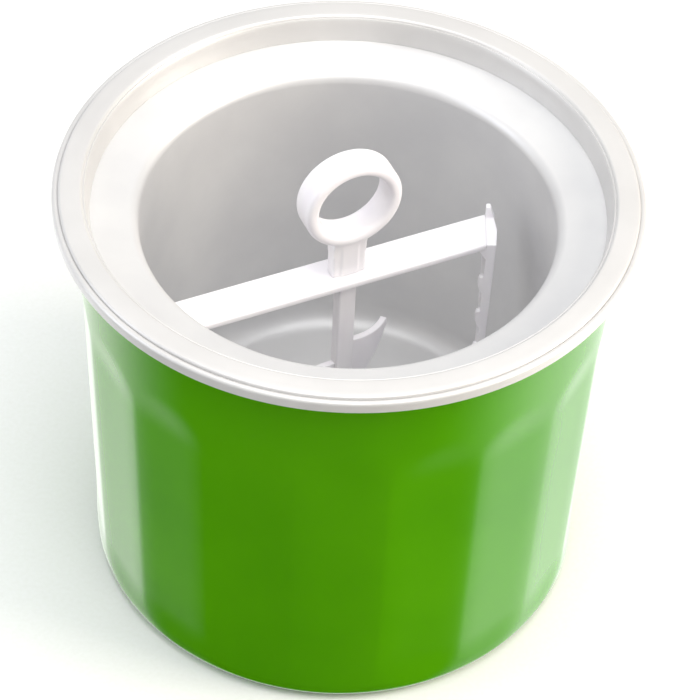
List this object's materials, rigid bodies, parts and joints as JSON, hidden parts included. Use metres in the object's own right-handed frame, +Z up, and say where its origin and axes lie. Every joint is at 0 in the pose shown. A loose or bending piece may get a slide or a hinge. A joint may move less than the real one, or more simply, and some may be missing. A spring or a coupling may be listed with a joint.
{
  "type": "ice cream maker",
  "caption": "Hand ice cream maker: a round fluted freezer bowl with a wide pale rim, and a white dasher with a finger ring that turns in it and lifts out.",
  "frame": {"origin": "on the table under the middle of the bowl, in the plane of the feet", "axes": "+Z up along the bowl's and the dasher's axis; -Y towards the user; the crossbar lies 26 degrees from +X towards +Y"},
  "size_m": [0.19, 0.19, 0.1708],
  "materials": {
    "green_shell": "smooth moulded, glossy",
    "green_cover": "moulded, fine texture",
    "satin_rim": "satin anodised",
    "satin_bowl": "satin, drawn",
    "can_sheet": "mill finish",
    "coolant": "gel, modelled as a solid",
    "foam": "closed-cell foam",
    "dark_rubber": "matte",
    "plain_plastic": "moulded",
    "screw_steel": "zinc plated",
    "dasher_plastic": "moulded, semi-gloss",
    "soft_lip": "soft white elastomer"
  },
  "bodies": {
    "bowl": {"outer_shell": "green_shell", "rim_ring": "satin_rim", "rim_gasket": "dark_rubber", "inner_bowl": "satin_bowl", "can_gasket": "dark_rubber", "coolant_can": "can_sheet", "coolant_gel": "coolant", "fill_plug": "plain_plastic", "plug_o_ring": "dark_rubber", "insulation_sleeve": "foam", "insulation_disc": "foam", "base_cover": "green_cover", "base_screws": "screw_steel", "rubber_feet": "dark_rubber", "pivot_stud": "plain_plastic"},
    "bush": {"pivot_bush": "plain_plastic"},
    "dasher": {"centre_shaft": "dasher_plastic", "cross_bar": "dasher_plastic", "ring_handle": "dasher_plastic", "mixing_arm": "dasher_plastic", "scraper_arm": "dasher_plastic", "wall_wiper": "soft_lip", "floor_scraper": "dasher_plastic", "mixing_vanes": "dasher_plastic"}
  },
  "joints": [
    {"name": "dasher_lift", "type": "slide", "parent": "bowl", "child": "bush", "axis": [0, 0, 1], "range_m": [0, 0.13]},
    {"name": "dasher_spin", "type": "hinge", "parent": "bush", "child": "dasher", "pos_m": [0, 0, 0.04], "axis": [0, 0, 1], "continuous": true}
  ]
}
